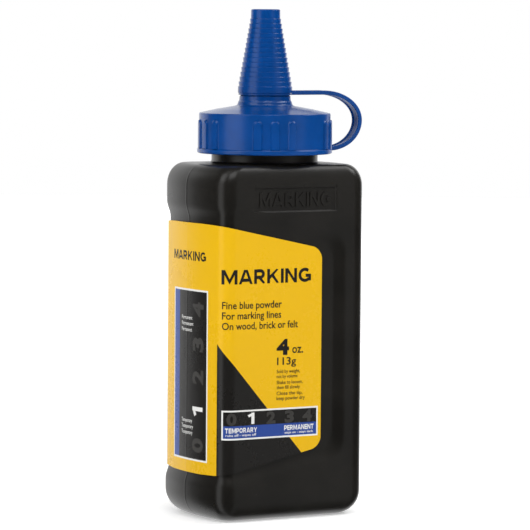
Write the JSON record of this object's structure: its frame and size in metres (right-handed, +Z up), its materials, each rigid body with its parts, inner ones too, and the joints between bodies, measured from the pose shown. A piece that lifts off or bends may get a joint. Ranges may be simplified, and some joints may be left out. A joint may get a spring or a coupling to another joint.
{
  "type": "marking chalk squeeze bottle",
  "caption": "Rounded rectangular squeeze bottle of marking chalk with a ribbed screw closure, tapered nozzle and a stepped tip cap tethered by a strap.",
  "frame": {"origin": "middle of the flat base, on the axis of the neck and nozzle", "axes": "+Z up along the neck, +X towards the side where the strap loops, -Y out of the front face"},
  "size_m": [0.0603, 0.041, 0.1531],
  "materials": {
    "bottle_plastic": "satin black polyethylene with fine moulding texture",
    "label_film": "printed film, semi gloss",
    "closure_plastic": "semi gloss moulded polypropylene",
    "liner_foam": "fine white foam",
    "chalk": "dry powder"
  },
  "bodies": {
    "bottle_body": {"bottle": "bottle_plastic", "label": "label_film", "chalk_powder": "chalk"},
    "liner_body": {"closure_liner": "liner_foam"},
    "closure_body": {"closure": "closure_plastic"},
    "strap_lower_body": {"strap_lower": "closure_plastic"},
    "strap_middle_body": {"strap_middle": "closure_plastic"},
    "strap_upper_body": {"strap_upper": "closure_plastic"},
    "tip_cap_body": {"tip_cap": "closure_plastic"}
  },
  "joints": [
    {"name": "closure_lift", "type": "slide", "parent": "bottle_body", "child": "liner_body", "axis": [0, 0, 1], "range_m": [0, 0.0053]},
    {"name": "closure_turn", "type": "hinge", "parent": "liner_body", "child": "closure_body", "pos_m": [0, 0, 0.115], "axis": [0, 0, 1], "range_deg": [0, 450]},
    {"name": "tip_cap_pull", "type": "hinge", "parent": "closure_body", "child": "strap_lower_body", "pos_m": [0.0213, 0, 0.11075], "axis": [0, -1, 0], "range_deg": [0, 62]},
    {"name": "strap_lower_bend", "type": "hinge", "parent": "strap_lower_body", "child": "strap_middle_body", "pos_m": [0.03254, 0, 0.11785], "axis": [0, -1, 0], "range_deg": [-62, 0]},
    {"name": "strap_upper_bend", "type": "hinge", "parent": "strap_middle_body", "child": "strap_upper_body", "pos_m": [0.03003, 0, 0.1244], "axis": [0, -1, 0], "range_deg": [-64.01, 0]},
    {"name": "tip_cap_bend", "type": "hinge", "parent": "strap_upper_body", "child": "tip_cap_body", "pos_m": [0.0089, 0, 0.12785], "axis": [0, -1, 0], "range_deg": [0, 64.01]}
  ],
  "couplings": [
    {"joint": "closure_lift", "follows": "closure_turn", "m_per_rad": 0.0006737},
    {"joint": "strap_lower_bend", "follows": "tip_cap_pull", "ratio": -1},
    {"joint": "strap_upper_bend", "follows": "tip_cap_pull", "ratio": -1.0323},
    {"joint": "tip_cap_bend", "follows": "tip_cap_pull", "ratio": 1.0323}
  ]
}
